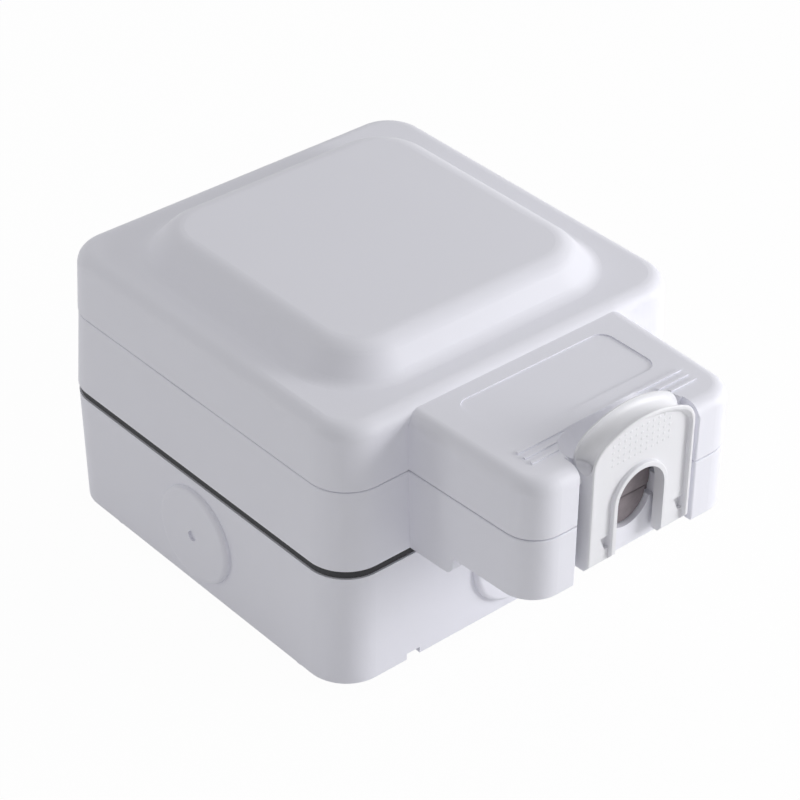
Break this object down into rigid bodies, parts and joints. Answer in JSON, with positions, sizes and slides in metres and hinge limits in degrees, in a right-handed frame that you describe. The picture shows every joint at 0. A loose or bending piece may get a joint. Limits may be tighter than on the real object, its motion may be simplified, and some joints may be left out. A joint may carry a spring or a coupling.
{
  "type": "outdoor weatherproof socket",
  "caption": "Weatherproof surface-mounted mains socket: square back box, framed switched outlet under a hinged domed lid, and a cable exit hood closed by a pivoting clip.",
  "frame": {"origin": "centre of the square box in the wall plane, at the wall ends of the feet", "axes": "+Z out of the wall, through the lid; +Y towards the lid's hinge, up when it is mounted; the cable leaves at -Y; +X completes the right-handed set"},
  "size_m": [0.1244, 0.1731, 0.0924],
  "materials": {
    "housing": "fine spark-eroded satin",
    "latch": "smooth satin",
    "socket_face": "smooth gloss",
    "socket_body": "matt",
    "shutter": "matt",
    "seal": "matt neoprene",
    "brass": "drawn",
    "steel": "zinc plated"
  },
  "bodies": {
    "housing": {"back_box": "housing", "box_gasket": "seal", "post_inserts": "brass", "front_frame": "housing", "frame_screws": "steel", "screw_washers": "seal", "lid_seal": "seal", "lower_cable_seal": "seal", "hinge_pins": "steel", "socket_front": "socket_face", "socket_rear": "socket_body", "module_screws": "steel", "earth_contact": "brass", "live_contact": "brass", "neutral_contact": "brass", "line_terminal": "brass", "return_terminal": "brass", "terminal_screws": "steel", "switch_blades": "brass", "shutter_spring": "steel", "earth_block": "brass", "earth_block_screw": "steel"},
    "lid": {"lid": "housing", "upper_cable_seal": "seal"},
    "latch": {"latch": "latch"},
    "rocker": {"rocker": "socket_face"},
    "shutter": {"shutter": "shutter"}
  },
  "joints": [
    {"name": "lid_hinge", "type": "hinge", "parent": "housing", "child": "lid", "pos_m": [0, 0.0643, 0.06515], "axis": [-1, 0, 0], "range_deg": [0, 110]},
    {"name": "latch_pivot", "type": "hinge", "parent": "lid", "child": "latch", "pos_m": [0, -0.0998, 0.076], "axis": [-1, 0, 0], "range_deg": [0, 20]},
    {"name": "rocker_tilt", "type": "hinge", "parent": "housing", "child": "rocker", "pos_m": [0, 0.0288, 0.0452], "axis": [1, 0, 0], "range_deg": [0, 12]},
    {"name": "shutter_slide", "type": "slide", "parent": "housing", "child": "shutter", "axis": [0, -1, 0], "range_m": [0, 0.006], "stiffness_N_per_m": 40, "springref_m": -0.004, "deforming": ["shutter_spring"]}
  ]
}
